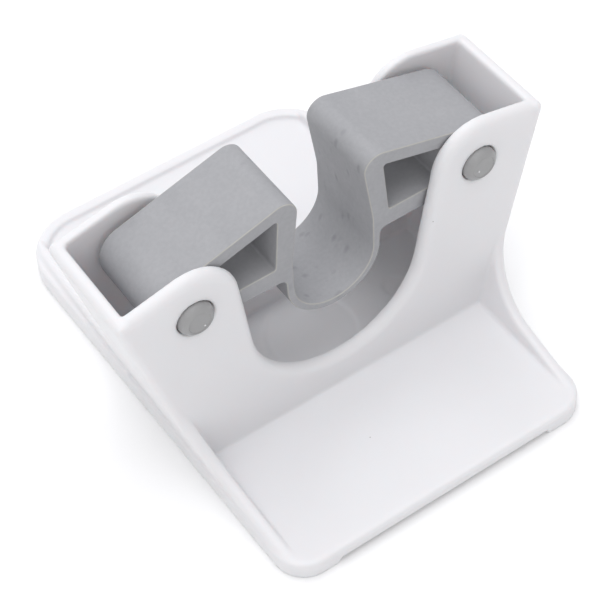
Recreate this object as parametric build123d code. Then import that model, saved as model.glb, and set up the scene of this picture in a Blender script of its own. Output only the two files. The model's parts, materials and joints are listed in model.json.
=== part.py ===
"""Wall holder with a sprung two-arm gripper, for the handle of a hair dryer.

The mounting face is the plane z = 0, and +Z points away from the wall. The held
handle runs along Y. The origin is the middle of the mounting face. Millimetres.
"""

import os
from math import acos, atan2, cos, hypot, pi, radians, sin, tan

from build123d import *

# Back plate, a little wider behind than in front
PLATE_LENGTH = 92.0
PLATE_HALF_WIDTH = 31.2
PLATE_BACK_HALF_WIDTH = 32.8
PLATE_TOP = 3.8
FRONT_CORNER_RADIUS = 6.0
BACK_CORNER_RADIUS = 11.0
PLATE_EDGE_RADIUS = 0.7
RECESS_WIDTH = 44.0
RECESS_DEPTH = 1.2
RECESS_BACK = 40.0

# Side walls: each leans outwards and runs down into a curved web at either end
FLARE = 14.2
SIDE_THICKNESS = 2.5
SIDE_TOP = 45.8
SIDE_WEB_RADIUS = 14.0
FRONT_WEB_HEIGHT = 8.1
BACK_WEB_HEIGHT = 8.4
FRONT_RIM_HEIGHT = 3.2
BACK_RIM_HEIGHT = 4.7
SIDE_OUTER_RADIUS = 1.2
SIDE_INNER_RADIUS = 0.5
TOP_CORNER_RADIUS = 1.0
BACK_RIM_WIDTH = 2.2

# Front and back walls, which carry the pivot pins: places are at the height of the pins
WALL_FRONT = -16.8
WALL_BACK = 5.9
WALL_LEAN = 1.3
FRONT_WALL_THICKNESS = 2.4
FRONT_WALL_RADIUS = 1.8
BACK_WALL_THICKNESS = 2.1
BACK_WALL_RADIUS = 1.3
WALL_INNER_RADIUS = 0.4
HORN_RADIUS = 8.8
NOTCH_RADIUS = 17.0
NOTCH_CENTRE_X = -0.9
NOTCH_CENTRE_Z = 27.6

# Moulding marks on the floor between the walls
GATE_MARK_RADIUS = 8.6
EJECTOR_MARK_RADIUS = 2.4
EJECTOR_MARK_X = 18.6
MARK_DEPTH = 0.25

# Pivot pins
PIN_X = 28.0
PIN_Z = 39.6
PIN_RADIUS = 3.3
PIN_STAND_OUT = 1.2
PIN_END_RADIUS = 1.0
PIN_FRONT_CLEARANCE = 0.18
PIN_ARM_CLEARANCE = 0.05

# Gripper, at rest
GRIPPER_FRONT_CLEARANCE = 0.3
GRIPPER_BACK_CLEARANCE = 1.3
ARM_END_RADIUS = 6.4
ARM_SHOULDER_RADIUS = 5.5
ARM_SLOPE = 16.0
ARM_TIP = (5.9, 52.2)
ARM_TIP_RADIUS = 3.0
ARM_FACE_TOP = 36.6
ARM_FACE_RADIUS = 12.0
CHANNEL_RADIUS = 8.0
CHANNEL_CENTRE_Z = 30.2
STRAP_THICKNESS = 1.4
STRAP_GAP = 0.05
WINDOW_FLOOR = 37.0
WINDOW_START = 11.3
WINDOW_TIP = (10.3, 48.1)
WINDOW_END = 22.0
WINDOW_CORNER_RADIUS = 0.5

# Adhesive pads
PAD_WIDTH = 19.0
PAD_LENGTH = 70.0
PAD_X = 10.7
PAD_Y = 2.5
PAD_CORNER_RADIUS = 1.5

SIDES = {"left": -1, "right": 1}

# Construction: a height above everything, how far solids run into each other, and the
# distance within which an edge counts as lying on a surface
ABOVE = 60.0
OVERLAP = 1.0
WALL_BITE = 0.4
ON_SURFACE = 0.01

BOX_MIDDLE = (WALL_FRONT + WALL_BACK) / 2
GRIPPER_FRONT = WALL_FRONT + FRONT_WALL_THICKNESS + GRIPPER_FRONT_CLEARANCE
GRIPPER_BACK = WALL_BACK - BACK_WALL_THICKNESS - GRIPPER_BACK_CLEARANCE
ARM_FLOOR = PIN_Z - ARM_END_RADIUS
ARM_RISE = tan(radians(ARM_SLOPE))


def side_x(z):
    """Half width over the side walls' outer faces at height z."""
    return PLATE_HALF_WIDTH + (z - PLATE_TOP) * tan(radians(FLARE))


def lean(z):
    """How far the front and back walls stand outwards at height z."""
    return (PIN_Z - z) * tan(radians(WALL_LEAN))


def along_y(face, near, far):
    """Extrude a face drawn in X and Z from y = near to y = far."""
    return extrude(Plane.XZ.offset(-near) * face, near - far)


def rounded_outline(back_half_width):
    """An outline of the plate's length and front width, with rounded corners."""
    end = PLATE_LENGTH / 2
    right = [(PLATE_HALF_WIDTH, -end), (back_half_width, end)]
    left = [(-x, y) for x, y in reversed(right)]
    outline = make_face(Polyline(*right, *left, close=True))
    outline = fillet(outline.vertices().group_by(Axis.Y)[0], FRONT_CORNER_RADIUS)
    return fillet(outline.vertices().group_by(Axis.Y)[-1], BACK_CORNER_RADIUS)


def plate_outline(inset=0.0):
    """The plate's outline, made smaller all round by inset."""
    outline = rounded_outline(PLATE_BACK_HALF_WIDTH)
    return offset(outline, -inset) if inset else outline


def plate():
    """The back plate, hollowed underneath for the pads and open at its front edge."""
    slab = extrude(plate_outline(), PLATE_TOP)
    front_top = slab.edges().group_by(Axis.Z)[-1].group_by(Axis.Y)[0]
    slab = fillet(front_top, PLATE_EDGE_RADIUS)
    front = -PLATE_LENGTH / 2 - OVERLAP
    from_corner = (Align.CENTER, Align.MIN, Align.MIN)
    recess = Box(RECESS_WIDTH, RECESS_BACK - front, RECESS_DEPTH, align=from_corner)
    return slab - Pos(0, front, 0) * recess


def side_outline():
    """Side view of a side wall: the end of the box between two curved webs."""
    end = PLATE_LENGTH / 2
    top = FilletPolyline(
        (-end, FRONT_RIM_HEIGHT),
        (WALL_FRONT - lean(FRONT_WEB_HEIGHT), FRONT_WEB_HEIGHT),
        (WALL_FRONT - lean(SIDE_TOP), SIDE_TOP),
        (WALL_BACK + lean(SIDE_TOP), SIDE_TOP),
        (WALL_BACK + lean(BACK_WEB_HEIGHT), BACK_WEB_HEIGHT),
        (end, BACK_RIM_HEIGHT),
        radius=(SIDE_WEB_RADIUS, TOP_CORNER_RADIUS, TOP_CORNER_RADIUS, SIDE_WEB_RADIUS),
    )
    foot = PLATE_TOP - OVERLAP
    base = Polyline((end, BACK_RIM_HEIGHT), (end, foot), (-end, foot), (-end, FRONT_RIM_HEIGHT))
    return make_face(Plane.YZ * (top + base))


def side_wall():
    """The right side wall: it leans outwards, and its edges are rounded."""
    low, high = 0.0, SIDE_TOP + OVERLAP
    corners = [(side_x(low), low), (side_x(high), high)]
    corners += [(x - SIDE_THICKNESS, z) for x, z in reversed(corners)]
    slab = along_y(make_face(Polyline(*corners, close=True)), -PLATE_LENGTH / 2, PLATE_LENGTH / 2)
    wall = slab & extrude(side_outline(), ABOVE, both=True)
    for inset, radius in ((0, SIDE_OUTER_RADIUS), (SIDE_THICKNESS, SIDE_INNER_RADIUS)):
        rim = [edge for edge in wall.edges() if on_rim(edge, inset)]
        wall = fillet(rim, radius)
    return wall


def on_rim(edge, inset):
    """Whether an edge of the side wall lies along its top, inset from the outer face."""
    middle = edge.position_at(0.5)
    inside_ends = abs(middle.Y) < PLATE_LENGTH / 2 - ON_SURFACE and middle.Z > PLATE_TOP
    return inside_ends and abs(middle.X + inset - side_x(middle.Z)) < ON_SURFACE


def side_walls():
    """Both side walls, rounded like the plate at their ends, and the low rim behind."""
    outline = rounded_outline(PLATE_HALF_WIDTH)
    outside = extrude(Pos(0, 0, PLATE_TOP) * outline, ABOVE, taper=-FLARE)
    outside += extrude(outline, PLATE_TOP)
    right = side_wall() & outside
    band = plate_outline() - plate_outline(BACK_RIM_WIDTH)
    rim = extrude(Pos(0, 0, PLATE_TOP) * band, BACK_RIM_HEIGHT - PLATE_TOP)
    behind = Box(2 * ABOVE, ABOVE, ABOVE, align=(Align.CENTER, Align.MIN, Align.MIN))
    rim &= Pos(0, WALL_BACK, 0) * behind
    return right + mirror(right, Plane.YZ) + rim


def on_circle(centre, radius, angle):
    """The point of a circle at an angle in radians."""
    return (centre[0] + radius * cos(angle), centre[1] + radius * sin(angle))


def tangent_point(point, centre, radius, turn):
    """Where a line from point touches a circle, on the side given by turn (1 or -1)."""
    dx, dz = point[0] - centre[0], point[1] - centre[1]
    angle = atan2(dz, dx) + turn * acos(radius / hypot(dx, dz))
    return on_circle(centre, radius, angle)


def half_wall_face(notch_x):
    """Front view of the right half of a wall: a horn round the pin, and a notch centred at notch_x."""
    pin, notch = (PIN_X, PIN_Z), (notch_x, NOTCH_CENTRE_Z)
    foot = (side_x(PLATE_TOP) - SIDE_THICKNESS + WALL_BITE, PLATE_TOP - OVERLAP)
    shoulder = (side_x(SIDE_TOP) - SIDE_OUTER_RADIUS, SIDE_TOP)
    horn_top = tangent_point(shoulder, pin, HORN_RADIUS, 1)
    across, rise = PIN_X - notch_x, PIN_Z - NOTCH_CENTRE_Z
    side_angle = atan2(rise, across) - acos((HORN_RADIUS + NOTCH_RADIUS) / hypot(across, rise))
    horn_side = on_circle(pin, HORN_RADIUS, side_angle + pi)
    horn_crown = on_circle(pin, HORN_RADIUS, 3 * pi / 4)
    notch_side = on_circle(notch, NOTCH_RADIUS, side_angle)
    notch_middle = on_circle(notch, NOTCH_RADIUS, -pi / 4)
    notch_floor = on_circle(notch, NOTCH_RADIUS, -acos(-notch_x / NOTCH_RADIUS))
    half = Polyline((0, foot[1]), foot, shoulder, horn_top)
    half += ThreePointArc(horn_top, horn_crown, horn_side)
    half += Line(horn_side, notch_side)
    half += ThreePointArc(notch_side, notch_middle, notch_floor)
    half += Line(notch_floor, (0, foot[1]))
    return make_face(half)


def wall_face():
    """Front view of the front or back wall, with its deep notch a little to the left."""
    return half_wall_face(NOTCH_CENTRE_X) + mirror(half_wall_face(-NOTCH_CENTRE_X), Plane.YZ)


def upright_wall(outer_y, inner_y, outer_radius):
    """The front or back wall, with its top and notch rounded on both faces."""
    near, far = sorted((outer_y, inner_y))
    wall = along_y(wall_face(), near, far)
    for y, radius in ((outer_y, outer_radius), (inner_y, WALL_INNER_RADIUS)):
        rim = [edge for edge in wall.edges() if on_wall_top(edge, y)]
        wall = fillet(rim, radius)
    outwards = 1 if outer_y > inner_y else -1
    return wall.rotate(Axis((0, outer_y, PIN_Z), (1, 0, 0)), outwards * WALL_LEAN)


def on_wall_top(edge, y):
    """Whether an edge of an upright wall is part of its horns or notch, on the face at y."""
    start, middle, end = [edge.position_at(step) for step in (0, 0.5, 1)]
    on_face = all(abs(point.Y - y) < ON_SURFACE for point in (start, middle, end))
    beside = abs(middle.X) > side_x(middle.Z) - SIDE_THICKNESS and middle.Z < SIDE_TOP
    return on_face and middle.Z > PLATE_TOP and not beside


def holder_body():
    """The one white moulding: plate, side walls with webs, and the two notched walls."""
    body = plate() + side_walls()
    body += upright_wall(WALL_FRONT, WALL_FRONT + FRONT_WALL_THICKNESS, FRONT_WALL_RADIUS)
    body += upright_wall(WALL_BACK, WALL_BACK - BACK_WALL_THICKNESS, BACK_WALL_RADIUS)
    for side in SIDES.values():
        front_hole = Circle(PIN_RADIUS + PIN_FRONT_CLEARANCE)
        clear = along_y(front_hole, WALL_FRONT - OVERLAP, BOX_MIDDLE)
        tight = along_y(Circle(PIN_RADIUS), BOX_MIDDLE, WALL_BACK + OVERLAP)
        body -= Pos(side * PIN_X, 0, PIN_Z) * (clear + tight)
        ejector = Cylinder(EJECTOR_MARK_RADIUS, 2 * MARK_DEPTH)
        body -= Pos(side * EJECTOR_MARK_X, BOX_MIDDLE, PLATE_TOP) * ejector
    return body - Pos(0, BOX_MIDDLE, PLATE_TOP) * Cylinder(GATE_MARK_RADIUS, 2 * MARK_DEPTH)


def arm_face():
    """Front view of the right arm: round behind its pin, rising to a tip at the channel."""
    back = PIN_X + ARM_END_RADIUS
    return make_face(
        FilletPolyline(
            (CHANNEL_RADIUS, ARM_FLOOR),
            (CHANNEL_RADIUS, ARM_FACE_TOP),
            ARM_TIP,
            (back, ARM_TIP[1] - (back - ARM_TIP[0]) * ARM_RISE),
            (back, ARM_FLOOR),
            (CHANNEL_RADIUS + STRAP_THICKNESS, ARM_FLOOR),
            radius=(0, ARM_FACE_RADIUS, ARM_TIP_RADIUS, ARM_SHOULDER_RADIUS, ARM_END_RADIUS, 0),
            close=True,
        )
    )


def window_face():
    """Front view of the hollow through the right arm."""
    roof_end = WINDOW_TIP[1] - (WINDOW_END - WINDOW_TIP[0]) * ARM_RISE
    inner = [(WINDOW_START, WINDOW_FLOOR), WINDOW_TIP]
    outer = [(WINDOW_END, roof_end), (WINDOW_END, WINDOW_FLOOR)]
    return make_face(FilletPolyline(*inner, *outer, radius=WINDOW_CORNER_RADIUS, close=True))


def arm():
    """The right arm of the gripper, hollow beside the channel and bored for its pin."""
    bore = Pos(PIN_X, PIN_Z) * Circle(PIN_RADIUS + PIN_ARM_CLEARANCE)
    return along_y(arm_face() - window_face() - bore, GRIPPER_FRONT, GRIPPER_BACK)


def strap():
    """The thin strap under the channel, which joins the two arms and bends as they turn."""
    outer_radius = CHANNEL_RADIUS + STRAP_THICKNESS
    top = ARM_FLOOR - STRAP_GAP
    legs = Pos(0, (CHANNEL_CENTRE_Z + top) / 2) * Rectangle(2 * outer_radius, top - CHANNEL_CENTRE_Z)
    ring = Pos(0, CHANNEL_CENTRE_Z) * Circle(outer_radius) + legs
    channel = Pos(0, CHANNEL_CENTRE_Z) * Circle(CHANNEL_RADIUS)
    mouth = Rectangle(2 * CHANNEL_RADIUS, 2 * CHANNEL_RADIUS)
    channel += Pos(0, CHANNEL_CENTRE_Z + CHANNEL_RADIUS) * mouth
    above = Pos(0, top + ABOVE / 2) * Rectangle(ABOVE, ABOVE)
    return along_y(ring - channel - above, GRIPPER_FRONT, GRIPPER_BACK)


def pin():
    """A pivot pin with rounded ends that stand out a little beyond both walls."""
    length = WALL_BACK - WALL_FRONT + 2 * PIN_STAND_OUT
    shaft = Cylinder(PIN_RADIUS, length, rotation=(90, 0, 0))
    return fillet(shaft.edges().filter_by(GeomType.CIRCLE), PIN_END_RADIUS)


def pad():
    """A double-sided foam pad that fills part of the recess under the plate."""
    return extrude(RectangleRounded(PAD_WIDTH, PAD_LENGTH, PAD_CORNER_RADIUS), RECESS_DEPTH)


def main():
    right_arm = arm()
    parts = {
        "holder_body": holder_body(),
        "gripper_right_arm": right_arm,
        "gripper_left_arm": mirror(right_arm, Plane.YZ),
        "gripper_strap": strap(),
    }
    for name, side in SIDES.items():
        parts[f"{name}_pivot_pin"] = Pos(side * PIN_X, BOX_MIDDLE, PIN_Z) * pin()
        parts[f"{name}_mounting_pad"] = Pos(side * PAD_X, PAD_Y, 0) * pad()
    os.makedirs("parts", exist_ok=True)
    for name, shape in parts.items():
        export_step(shape, f"parts/{name}.step")


main()
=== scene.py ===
"""Looks for the wall holder with a sprung gripper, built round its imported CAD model.

The white moulding is the CAD solid with its edges softened, the rubber gripper is one
continuous form cut in two at the bottom of its strap, and the pins are turned shapes.
Metres, in the frame of the CAD model: the wall is z = 0 and the handle runs along Y.
"""

import json
import math

import bmesh
import bpy
from mathutils import Matrix, Vector


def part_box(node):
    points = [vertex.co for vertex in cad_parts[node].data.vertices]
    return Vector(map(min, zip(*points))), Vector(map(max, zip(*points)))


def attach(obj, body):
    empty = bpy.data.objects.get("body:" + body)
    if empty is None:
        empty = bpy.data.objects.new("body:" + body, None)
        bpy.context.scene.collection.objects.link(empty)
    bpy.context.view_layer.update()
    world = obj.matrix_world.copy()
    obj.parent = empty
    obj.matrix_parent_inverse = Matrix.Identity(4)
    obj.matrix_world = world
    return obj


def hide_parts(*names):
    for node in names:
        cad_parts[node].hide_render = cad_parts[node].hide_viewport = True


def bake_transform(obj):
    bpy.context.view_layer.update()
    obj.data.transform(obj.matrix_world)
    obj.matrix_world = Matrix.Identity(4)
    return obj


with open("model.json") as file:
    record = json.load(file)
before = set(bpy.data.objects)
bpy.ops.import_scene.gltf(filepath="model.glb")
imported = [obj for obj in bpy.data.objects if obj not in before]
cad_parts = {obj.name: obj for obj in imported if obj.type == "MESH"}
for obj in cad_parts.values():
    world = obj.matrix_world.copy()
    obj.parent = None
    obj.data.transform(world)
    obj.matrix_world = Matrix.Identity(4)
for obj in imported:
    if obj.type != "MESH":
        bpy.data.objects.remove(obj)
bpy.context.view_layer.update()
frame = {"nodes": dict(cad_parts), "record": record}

MM = 0.001
SIDES = {"left": -1, "right": 1}

# Softening of the white moulding
SHELL_VOXEL = 0.32 * MM
SHELL_SMOOTHING_FACTOR = 0.5
SHELL_SMOOTHING_STEPS = 6
SHELL_TRIANGLES = 190_000

# Gripper profile, where the frame doesn't give it
ARM_SHOULDER_RADIUS = 5.5 * MM
ARM_SLOPE = math.radians(16.0)
ARM_TIP = (5.9 * MM, 52.2 * MM)
ARM_TIP_RADIUS = 3.0 * MM
ARM_FACE_TOP = 36.6 * MM
ARM_FACE_RADIUS = 12.0 * MM
STRAP_ROOT_RADIUS = 1.4 * MM
WINDOW_CORNERS = ((11.3, 37.0), (10.3, 48.1), (22.0, 44.75), (22.0, 37.0))
WINDOW_CORNER_RADIUS = 0.5 * MM
GRIPPER_EDGE_RADIUS = 0.28 * MM
GRIPPER_EDGE_STEPS = 3
STRAP_ARC_END = -87.0  # degrees; short of the middle, where the two halves are cut
BORE_ARC_END = 355.0  # degrees; short of the first point, since the outline closes itself
HIGHLIGHT_EDGE_TILT = (0.2, 0.95)  # how far a face of the rounded front and back edges turns towards Y to take the painted highlight

# Meshes
ARC_STEP = math.radians(4.0)
STRAIGHT_CORNER = math.radians(89.9)
MERGE_DISTANCE = 0.002 * MM
SHARP_ANGLE = 35.0

# Pivot pins
PIN_CLEARANCE = 0.05 * MM
PIN_DOME_RADIUS = 1.8 * MM
PIN_DOME_ANGLE = 70.0
PIN_DISH_DEPTH = 0.12 * MM
PIN_NUB_RADIUS = 0.2 * MM
PIN_NUB_PLACES = {"left": (0.8, -1.1), "right": (-1.0, -0.4)}
PIN_NUB_SEGMENTS = (20, 12)
PIN_STEPS = 96
PIN_SHARP_ANGLE = 25.0

# Camera and studio
CAMERA_TARGET = Vector((-4.3, -10.9, 20.0)) * MM
CAMERA_DISTANCE = 315.6 * MM
CAMERA_AZIMUTH = math.radians(-31.55)
CAMERA_ELEVATION = math.radians(50.65)
CAMERA_ROLL = math.radians(-3.74)
CAMERA_LENS = 109.04
CAMERA_SENSOR = 36.0
CAMERA_CLIP = (0.01, 20.0)
FLOOR_SIZE = 6.0
FLOOR_COLOUR = (0.97, 0.97, 0.972, 1)
FLOOR_ROUGHNESS = 0.9
FLOOR_GLOW = 0.02
SKY_STRENGTH = 0.48
LAMP_SIZE = 1.6
COOL = (0.965, 0.97, 1.0)
WARM = (1.0, 0.995, 0.985)
LAMPS = (
    ("overhead", (0.04, 0.10, 1.6), 15.5, COOL),
    ("front", (-0.6, -0.98, 1.4), 4.4, WARM),
    ("front left", (-1.2, -0.6, 1.2), 2.6, WARM),
    ("back", (0.2, 1.6, 1.0), 7.8, COOL),
)

# Sockets of Blender's Mix node when it mixes colours
MIX_FIRST = 6
MIX_SECOND = 7
MIX_RESULT = 2


# ---------------------------------------------------------------- node helpers


def material(name):
    """A new node material, with its Principled shader."""
    made = bpy.data.materials.new(name)
    made.use_nodes = True
    return made, made.node_tree.nodes["Principled BSDF"]


def node(tree, kind, inputs=None, **settings):
    """A shader node with its settings and input values."""
    made = tree.nodes.new(kind)
    for key, value in settings.items():
        setattr(made, key, value)
    for key, value in (inputs or {}).items():
        made.inputs[key].default_value = value
    return made


def coordinates(tree, stretch=(1, 1, 1)):
    """Object coordinates in metres, stretched along the axes."""
    place = node(tree, "ShaderNodeTexCoord")
    mapping = node(tree, "ShaderNodeMapping", {"Scale": stretch})
    tree.links.new(place.outputs["Object"], mapping.inputs["Vector"])
    return mapping.outputs["Vector"]


def noise(tree, size, detail=3.0, stretch=(1, 1, 1), roughness=0.5):
    """Noise whose features are about size metres across, from 0 to 1."""
    made = node(
        tree,
        "ShaderNodeTexNoise",
        {"Scale": 1 / size, "Detail": detail, "Roughness": roughness},
    )
    tree.links.new(coordinates(tree, stretch), made.inputs["Vector"])
    return made.outputs["Fac"]


def spots(tree, spacing, radius, share, stretch=(1, 1, 1)):
    """Scattered round spots: 1 in a spot. Cells are spacing across; a share of them has one."""
    cells = node(tree, "ShaderNodeTexVoronoi", {"Scale": 1 / spacing, "Randomness": 1.0})
    tree.links.new(coordinates(tree, stretch), cells.inputs["Vector"])
    edge = radius / spacing
    near = remap(tree, cells.outputs["Distance"], edge, 0.4 * edge, 0, 1)
    chosen = node(tree, "ShaderNodeSeparateColor")
    tree.links.new(cells.outputs["Color"], chosen.inputs["Color"])
    picked = remap(tree, chosen.outputs["Red"], share, share - 0.01, 0, 1)
    return combine(tree, "MULTIPLY", near, picked)


def remap(tree, value, from_low, from_high, to_low, to_high):
    """A value moved from one range to another, and kept inside it."""
    made = node(
        tree,
        "ShaderNodeMapRange",
        {"From Min": from_low, "From Max": from_high, "To Min": to_low, "To Max": to_high},
        clamp=True,
    )
    tree.links.new(value, made.inputs["Value"])
    return made.outputs["Result"]


def combine(tree, operation, first, second):
    """Arithmetic on two sockets, or on a socket and a number."""
    made = node(tree, "ShaderNodeMath", operation=operation)
    for slot, value in enumerate((first, second)):
        if isinstance(value, (int, float)):
            made.inputs[slot].default_value = value
        else:
            tree.links.new(value, made.inputs[slot])
    return made.outputs["Value"]


def mix(tree, share, first, second):
    """A colour between two others, which are colours or sockets."""
    made = node(tree, "ShaderNodeMix", data_type="RGBA")
    tree.links.new(share, made.inputs["Factor"])
    for key, value in ((MIX_FIRST, first), (MIX_SECOND, second)):
        if isinstance(value, bpy.types.NodeSocket):
            tree.links.new(value, made.inputs[key])
        else:
            made.inputs[key].default_value = (*value, 1.0)
    return made.outputs[MIX_RESULT]


def bump(tree, shader, layers):
    """Bumps from (height socket, depth in metres) pairs, one on another."""
    normal = None
    for height, depth in layers:
        made = node(tree, "ShaderNodeBump", {"Strength": 1.0, "Distance": depth})
        tree.links.new(height, made.inputs["Height"])
        if normal is not None:
            tree.links.new(normal, made.inputs["Normal"])
        normal = made.outputs["Normal"]
    tree.links.new(normal, shader.inputs["Normal"])


def position(tree, axis):
    """One object coordinate, in metres."""
    split = node(tree, "ShaderNodeSeparateXYZ")
    tree.links.new(coordinates(tree), split.inputs["Vector"])
    return split.outputs[axis]


# ------------------------------------------------------------------- materials


def white_plastic():
    """Satin white moulded plastic: faint flow marks, a few dark specks and fine scuffs."""
    made, shader = material("white_plastic")
    tree = made.node_tree
    flow = noise(tree, 18 * MM, detail=4, stretch=(1.0, 0.45, 1.0))
    body = mix(tree, flow, (0.783, 0.779, 0.797), (0.812, 0.807, 0.824))
    specks = spots(tree, 7.5 * MM, 0.16 * MM, 0.5)
    colour = mix(tree, specks, body, (0.42, 0.40, 0.39))
    tree.links.new(colour, shader.inputs["Base Color"])
    rough = remap(tree, noise(tree, 5 * MM, detail=6), 0.3, 0.7, 0.36, 0.50)
    tree.links.new(rough, shader.inputs["Roughness"])
    shader.inputs["Subsurface Weight"].default_value = 0.4
    shader.inputs["Subsurface Radius"].default_value = (1.0, 0.82, 0.78)
    shader.inputs["Subsurface Scale"].default_value = 2.2 * MM
    grain = noise(tree, 0.5 * MM, detail=2)
    waves = noise(tree, 14 * MM, detail=1)
    bump(tree, shader, ((waves, 0.05 * MM), (grain, 0.006 * MM)))
    return made


def grey_rubber():
    """Matte grey rubber: mottled, with small dents down the channel that the handle rubs."""
    made, shader = material("grey_rubber")
    tree = made.node_tree
    patches = noise(tree, 7 * MM, detail=5, stretch=(1, 0.6, 1))
    body = mix(tree, patches, (0.348, 0.351, 0.368), (0.417, 0.418, 0.433))
    across = combine(tree, "ABSOLUTE", position(tree, "X"), 0.0)
    in_channel = remap(tree, across, 10.5 * MM, 7.5 * MM, 0, 1)
    dents = spots(tree, 2.6 * MM, 0.85 * MM, 0.6, stretch=(1, 1.5, 0.65))
    worn = combine(tree, "MULTIPLY", dents, in_channel)
    mottle = remap(tree, noise(tree, 0.7 * MM, detail=4), 0.35, 0.65, 0.0, 0.16)
    speckled = mix(tree, mottle, body, (0.24, 0.24, 0.26))
    colour = mix(tree, combine(tree, "MULTIPLY", worn, 0.3), speckled, (0.20, 0.20, 0.225))
    tree.links.new(colour, shader.inputs["Base Color"])
    rough = remap(tree, noise(tree, 2 * MM, detail=5), 0.3, 0.7, 0.56, 0.72)
    tree.links.new(rough, shader.inputs["Roughness"])
    shader.inputs["Specular IOR Level"].default_value = 0.4
    grain = noise(tree, 0.25 * MM, detail=3)
    lumps = noise(tree, 2.5 * MM, detail=3)
    bump(tree, shader, ((lumps, 0.05 * MM), (worn, -0.10 * MM), (grain, 0.02 * MM)))
    return made


def rubber_painted_edge_highlight():
    """Paler, warmer rubber on the gripper's rounded front and back edges: a painted highlight."""
    made, shader = material("grey_rubber_painted_edge_highlight")
    tree = made.node_tree
    patches = noise(tree, 1.5 * MM, detail=4)
    colour = mix(tree, patches, (0.41, 0.40, 0.375), (0.50, 0.49, 0.465))
    tree.links.new(colour, shader.inputs["Base Color"])
    rough = remap(tree, noise(tree, 1 * MM), 0.3, 0.7, 0.5, 0.65)
    tree.links.new(rough, shader.inputs["Roughness"])
    bump(tree, shader, ((noise(tree, 0.4 * MM, detail=3), 0.02 * MM),))
    return made


def grey_plastic():
    """Warm grey pin plastic, faintly uneven."""
    made, shader = material("grey_plastic")
    tree = made.node_tree
    patches = noise(tree, 3 * MM, detail=4)
    colour = mix(tree, patches, (0.315, 0.314, 0.318), (0.365, 0.363, 0.365))
    tree.links.new(colour, shader.inputs["Base Color"])
    rough = remap(tree, noise(tree, 0.9 * MM, detail=4), 0.3, 0.7, 0.34, 0.5)
    tree.links.new(rough, shader.inputs["Roughness"])
    bump(tree, shader, ((noise(tree, 0.6 * MM, detail=3), 0.025 * MM),))
    return made


def nub_painted_glint():
    """Pale, glossy plastic on the nub at a pin's end: a painted glint."""
    made, shader = material("grey_plastic_nub_painted_glint")
    tree = made.node_tree
    colour = mix(tree, noise(tree, 0.3 * MM), (0.62, 0.62, 0.63), (0.72, 0.72, 0.73))
    tree.links.new(colour, shader.inputs["Base Color"])
    shader.inputs["Roughness"].default_value = 0.3
    return made


def foam():
    """Closed-cell white foam of the mounting pads."""
    made, shader = material("foam_pad")
    tree = made.node_tree
    cells = node(tree, "ShaderNodeTexVoronoi", {"Scale": 1 / (0.45 * MM)})
    tree.links.new(coordinates(tree), cells.inputs["Vector"])
    colour = mix(tree, cells.outputs["Distance"], (0.82, 0.82, 0.79), (0.66, 0.66, 0.63))
    tree.links.new(colour, shader.inputs["Base Color"])
    rough = remap(tree, noise(tree, 1 * MM), 0.3, 0.7, 0.75, 0.9)
    tree.links.new(rough, shader.inputs["Roughness"])
    bump(tree, shader, ((cells.outputs["Distance"], 0.08 * MM),))
    return made


# ---------------------------------------------------------------- mesh helpers


def mesh_object(name, mesh):
    """A new object for a mesh, linked to the scene."""
    made = bpy.data.objects.new(name, mesh)
    bpy.context.scene.collection.objects.link(made)
    return made


def baked(piece, name):
    """A new object with the mesh that piece's modifiers or curve settings make; piece goes away."""
    graph = bpy.context.evaluated_depsgraph_get()
    mesh = bpy.data.meshes.new_from_object(piece.evaluated_get(graph), depsgraph=graph)
    mesh.name = name
    bpy.data.objects.remove(piece)
    return mesh_object(name, mesh)


def smooth_shading(piece, angle=SHARP_ANGLE):
    """Smooth shading, except across edges sharper than angle degrees."""
    limit = math.radians(angle)
    piece.data.shade_smooth()
    form = bmesh.new()
    form.from_mesh(piece.data)
    for edge in form.edges:
        edge.smooth = len(edge.link_faces) == 2 and edge.calc_face_angle() < limit
    form.to_mesh(piece.data)
    form.free()


def rounded(corners):
    """The points of a closed outline of (x, z, radius) corners, with an arc at each corner."""
    points = []
    for index, (x, z, radius) in enumerate(corners):
        corner = Vector((x, z))
        before = (Vector(corners[index - 1][:2]) - corner).normalized()
        after = (Vector(corners[(index + 1) % len(corners)][:2]) - corner).normalized()
        half = before.angle(after) / 2
        if radius == 0 or half > STRAIGHT_CORNER:
            points.append(corner)
            continue
        centre = corner + (before + after).normalized() * radius / math.sin(half)
        start = corner + before * radius / math.tan(half) - centre
        turn = math.pi - 2 * half
        side = 1 if before.cross(after) < 0 else -1
        steps = max(2, math.ceil(turn / ARC_STEP))
        for step in range(steps + 1):
            angle = side * turn * step / steps
            spin = Matrix.Rotation(angle, 2)
            points.append(centre + spin @ start)
    return points


def arc(centre, radius, start, end):
    """Points on a circle, from one angle to another in degrees."""
    sweep = math.radians(end - start)
    steps = max(2, math.ceil(abs(sweep) / ARC_STEP))
    points = []
    for step in range(steps + 1):
        angle = math.radians(start) + sweep * step / steps
        x = centre[0] + radius * math.cos(angle)
        y = centre[1] + radius * math.sin(angle)
        points.append(Vector((x, y)))
    return points


def rounded_slab(name, outlines, low_y, high_y, edge_radius):
    """A solid between two Y planes from closed outlines in X and Z, with rounded edges."""
    curve = bpy.data.curves.new(name, "CURVE")
    curve.dimensions = "2D"
    curve.fill_mode = "BOTH"
    curve.extrude = (high_y - low_y) / 2 - edge_radius
    curve.bevel_depth = edge_radius
    curve.offset = -edge_radius
    curve.bevel_resolution = GRIPPER_EDGE_STEPS
    for outline in outlines:
        spline = curve.splines.new("POLY")
        spline.points.add(len(outline) - 1)
        for point, (x, z) in zip(spline.points, outline):
            point.co = (x, z, 0, 1)
        spline.use_cyclic_u = True
    piece = baked(mesh_object(name, curve), name)
    middle = Matrix.Translation((0, (low_y + high_y) / 2, 0))
    stand_up = Matrix.Rotation(math.pi / 2, 4, "X")
    piece.data.transform(middle @ stand_up)
    return piece


# ---------------------------------------------------------------------- pieces


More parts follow.
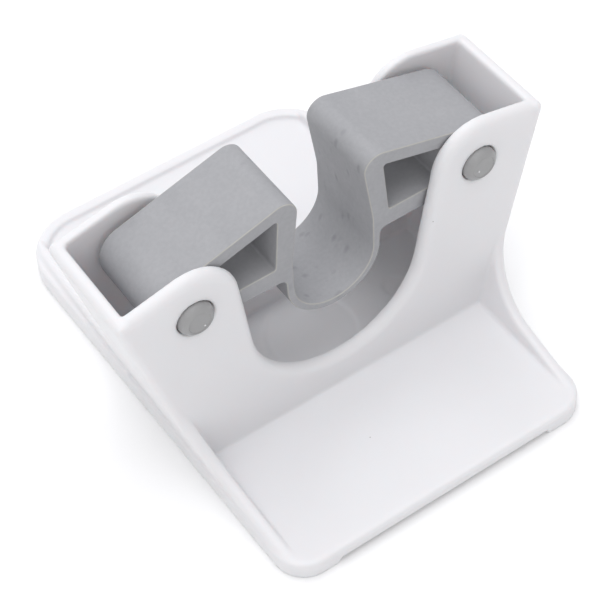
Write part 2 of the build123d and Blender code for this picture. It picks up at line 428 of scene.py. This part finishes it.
def soft_shell(frame):
    """The white moulding: the CAD solid remeshed finely, then smoothed to soften its edges."""
    source = frame["nodes"]["holder_body"]
    piece = mesh_object("holder_shell", source.data.copy())
    remesh = piece.modifiers.new("Remesh", "REMESH")
    remesh.mode = "VOXEL"
    remesh.voxel_size = SHELL_VOXEL
    smooth = piece.modifiers.new("Smooth", "SMOOTH")
    smooth.factor = SHELL_SMOOTHING_FACTOR
    smooth.iterations = SHELL_SMOOTHING_STEPS
    piece = baked(piece, "holder_shell")
    piece.data.calc_loop_triangles()
    thin = piece.modifiers.new("Decimate", "DECIMATE")
    thin.ratio = min(1.0, SHELL_TRIANGLES / len(piece.data.loop_triangles))
    piece = baked(piece, "holder_shell")
    piece.data.shade_smooth()
    return piece


def gripper_outlines(channel, pin, arm, strap):
    """Outer outline of the gripper, its two windows and its two pin bores, in X and Z.

    pin holds the X of the right bore, its radius and its Z.
    """
    inside = channel["radius"]
    outside = strap[1].x
    floor = arm[0].z
    back = arm[1].x
    slope_end = ARM_TIP[1] - (back - ARM_TIP[0]) * math.tan(ARM_SLOPE)
    half = [
        (outside, floor, STRAP_ROOT_RADIUS),
        (back, floor, back - pin.x),
        (back, slope_end, ARM_SHOULDER_RADIUS),
        (*ARM_TIP, ARM_TIP_RADIUS),
        (inside, ARM_FACE_TOP, ARM_FACE_RADIUS),
    ]
    bottom = arc((0, channel["z"]), outside, STRAP_ARC_END, 0)
    top = arc((0, channel["z"]), inside, 0, STRAP_ARC_END)
    ends = [(outside, channel["z"], 0), *half, (inside, channel["z"], 0)]
    turned = rounded(ends)[1:-1]
    right = bottom + turned + top
    left = [Vector((-point.x, point.y)) for point in reversed(right)]
    outlines = [right + left]
    for side in SIDES.values():
        window = [(side * x * MM, z * MM, WINDOW_CORNER_RADIUS) for x, z in WINDOW_CORNERS]
        outlines.append(rounded(window))
        outlines.append(arc((side * pin.x, pin.z), pin.y, 0, BORE_ARC_END))
    return outlines


def handle_channel(frame):
    """The channel the handle sits in: its radius, and the height of its axis."""
    mounts = {mount["name"]: mount for mount in frame["record"]["mounts"]}
    clamp = mounts["handle_channel"]
    return {"radius": clamp["dims"]["r_mm"] * MM, "z": clamp["pos_m"][2]}


def gripper_halves(frame):
    """The rubber gripper as two halves, cut at the middle of its strap."""
    channel = handle_channel(frame)
    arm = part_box("gripper_right_arm")
    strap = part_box("gripper_strap")
    pin_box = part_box("right_pivot_pin")
    centre = (pin_box[0] + pin_box[1]) / 2
    bore = (pin_box[1].x - pin_box[0].x) / 2 + PIN_CLEARANCE
    pin = Vector((centre.x, bore, centre.z))
    outlines = gripper_outlines(channel, pin, arm, strap)
    whole = rounded_slab("gripper", outlines, arm[0].y, arm[1].y, GRIPPER_EDGE_RADIUS)
    halves = {}
    for name, side in SIDES.items():
        form = bmesh.new()
        form.from_mesh(whole.data)
        bmesh.ops.remove_doubles(form, verts=form.verts, dist=MERGE_DISTANCE)
        cut = bmesh.ops.bisect_plane(
            form,
            geom=form.verts[:] + form.edges[:] + form.faces[:],
            plane_co=(0, 0, 0),
            plane_no=(side, 0, 0),
            clear_inner=True,
        )
        rim = [part for part in cut["geom_cut"] if isinstance(part, bmesh.types.BMEdge)]
        bmesh.ops.holes_fill(form, edges=rim)
        bmesh.ops.recalc_face_normals(form, faces=form.faces)
        mesh = bpy.data.meshes.new(f"gripper_{name}_half")
        form.to_mesh(mesh)
        form.free()
        halves[name] = mesh_object(mesh.name, mesh)
        smooth_shading(halves[name])
    bpy.data.objects.remove(whole)
    return halves


def pivot_pin(side):
    """A pin with a dome at each end, dished in the middle, and the nub of its mould's gate,
    coloured pale as a painted glint.
    """
    low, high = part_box(f"{side}_pivot_pin")
    centre = (low + high) / 2
    radius = (high.x - low.x) / 2
    half = (high.y - low.y) / 2
    dome_centre = (radius - PIN_DOME_RADIUS, half - PIN_DOME_RADIUS)
    dome = arc(dome_centre, PIN_DOME_RADIUS, PIN_DOME_ANGLE, 0)
    dome = [point + Vector((0, half - dome[0].y)) for point in dome]
    dish = half - PIN_DISH_DEPTH
    profile = [Vector((0, dish)), Vector((dome[0].x - PIN_DISH_DEPTH, dish)), *dome]
    profile += [Vector((point.x, -point.y)) for point in reversed(profile)]
    form = bmesh.new()
    rows = [form.verts.new((point.x, point.y, 0)) for point in profile]
    edges = [form.edges.new(pair) for pair in zip(rows, rows[1:])]
    bmesh.ops.spin(
        form,
        geom=rows + edges,
        cent=(0, 0, 0),
        axis=(0, 1, 0),
        angle=2 * math.pi,
        steps=PIN_STEPS,
        use_duplicate=False,
    )
    bmesh.ops.remove_doubles(form, verts=form.verts, dist=MERGE_DISTANCE)
    round_steps, up_steps = PIN_NUB_SEGMENTS
    nub = bmesh.ops.create_uvsphere(
        form,
        u_segments=round_steps,
        v_segments=up_steps,
        radius=PIN_NUB_RADIUS,
    )
    across, up = PIN_NUB_PLACES[side]
    place = Vector((across * MM, -dish, up * MM))
    bmesh.ops.translate(form, verts=nub["verts"], vec=place)
    # The nub's faces take the second material, the pale painted glint.
    for face in {face for vertex in nub["verts"] for face in vertex.link_faces}:
        face.material_index = 1
    bmesh.ops.recalc_face_normals(form, faces=form.faces)
    bmesh.ops.translate(form, verts=form.verts, vec=centre)
    mesh = bpy.data.meshes.new(f"{side}_pivot_pin_turned")
    form.to_mesh(mesh)
    form.free()
    piece = mesh_object(mesh.name, mesh)
    smooth_shading(piece, PIN_SHARP_ANGLE)
    return piece


# ---------------------------------------------------------------------- studio


def camera():
    """The camera, from the left and above, rolled a little."""
    data = bpy.data.cameras.new("Camera")
    data.lens = CAMERA_LENS
    data.sensor_width = CAMERA_SENSOR
    data.clip_start, data.clip_end = CAMERA_CLIP
    made = mesh_object("Camera", data)
    level = math.cos(CAMERA_ELEVATION)
    back = Vector(
        (
            math.sin(CAMERA_AZIMUTH) * level,
            -math.cos(CAMERA_AZIMUTH) * level,
            math.sin(CAMERA_ELEVATION),
        )
    )
    made.location = CAMERA_TARGET + back * CAMERA_DISTANCE
    turn = (-back).to_track_quat("-Z", "Y").to_matrix().to_4x4()
    made.rotation_euler = (turn @ Matrix.Rotation(CAMERA_ROLL, 4, "Z")).to_euler()
    bpy.context.scene.camera = made


def lamp(name, place, power, colour):
    """A large square light aimed at the holder."""
    data = bpy.data.lights.new(name, "AREA")
    data.size = LAMP_SIZE
    data.energy = power
    data.color = colour
    made = mesh_object(name, data)
    made.location = place
    towards = CAMERA_TARGET - Vector(place)
    made.rotation_euler = towards.to_track_quat("-Z", "Y").to_euler()


def studio():
    """A pale floor in a white light tent, brightest overhead."""
    bpy.ops.mesh.primitive_plane_add(size=FLOOR_SIZE)
    floor = bpy.context.object
    floor.name = "floor"
    made, shader = material("floor")
    shader.inputs["Base Color"].default_value = FLOOR_COLOUR
    shader.inputs["Roughness"].default_value = FLOOR_ROUGHNESS
    shader.inputs["Emission Color"].default_value = (1, 1, 1, 1)
    shader.inputs["Emission Strength"].default_value = FLOOR_GLOW
    floor.data.materials.append(made)
    world = bpy.context.scene.world or bpy.data.worlds.new("World")
    bpy.context.scene.world = world
    world.use_nodes = True
    sky = world.node_tree.nodes["Background"]
    sky.inputs["Color"].default_value = (1.0, 1.0, 1.0, 1)
    sky.inputs["Strength"].default_value = SKY_STRENGTH
    for name, place, power, colour in LAMPS:
        lamp(name, place, power, colour)
    bpy.context.scene.view_settings.view_transform = "Standard"


# ------------------------------------------------------------------------ main

plastic = white_plastic()
rubber = grey_rubber()
edge_highlight_paint = rubber_painted_edge_highlight()
pin_plastic = grey_plastic()
nub_glint_paint = nub_painted_glint()
pad_foam = foam()

shell = soft_shell(frame)
shell.data.materials.clear()
shell.data.materials.append(plastic)
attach(shell, "housing")
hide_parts("holder_body")

for name, half in gripper_halves(frame).items():
    half.data.materials.append(rubber)
    half.data.materials.append(edge_highlight_paint)
    # Faces of the rounded front and back edges, picked by how far they turn towards Y, take the
    # pale second material: a painted highlight.
    least, most = HIGHLIGHT_EDGE_TILT
    for polygon in half.data.polygons:
        polygon.material_index = 1 if least < abs(polygon.normal.y) < most else 0
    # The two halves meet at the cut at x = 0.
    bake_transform(half)
    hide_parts(f"gripper_{name}_arm", "gripper_strap")

for name in SIDES:
    pin = pivot_pin(name)
    pin.data.materials.append(pin_plastic)
    # The second material paints a pale glint on the pin's nub.
    pin.data.materials.append(nub_glint_paint)
    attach(pin, "housing")
    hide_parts(f"{name}_pivot_pin")
    pad = frame["nodes"][f"{name}_mounting_pad"]
    pad.data.materials.clear()
    pad.data.materials.append(pad_foam)

studio()
camera()
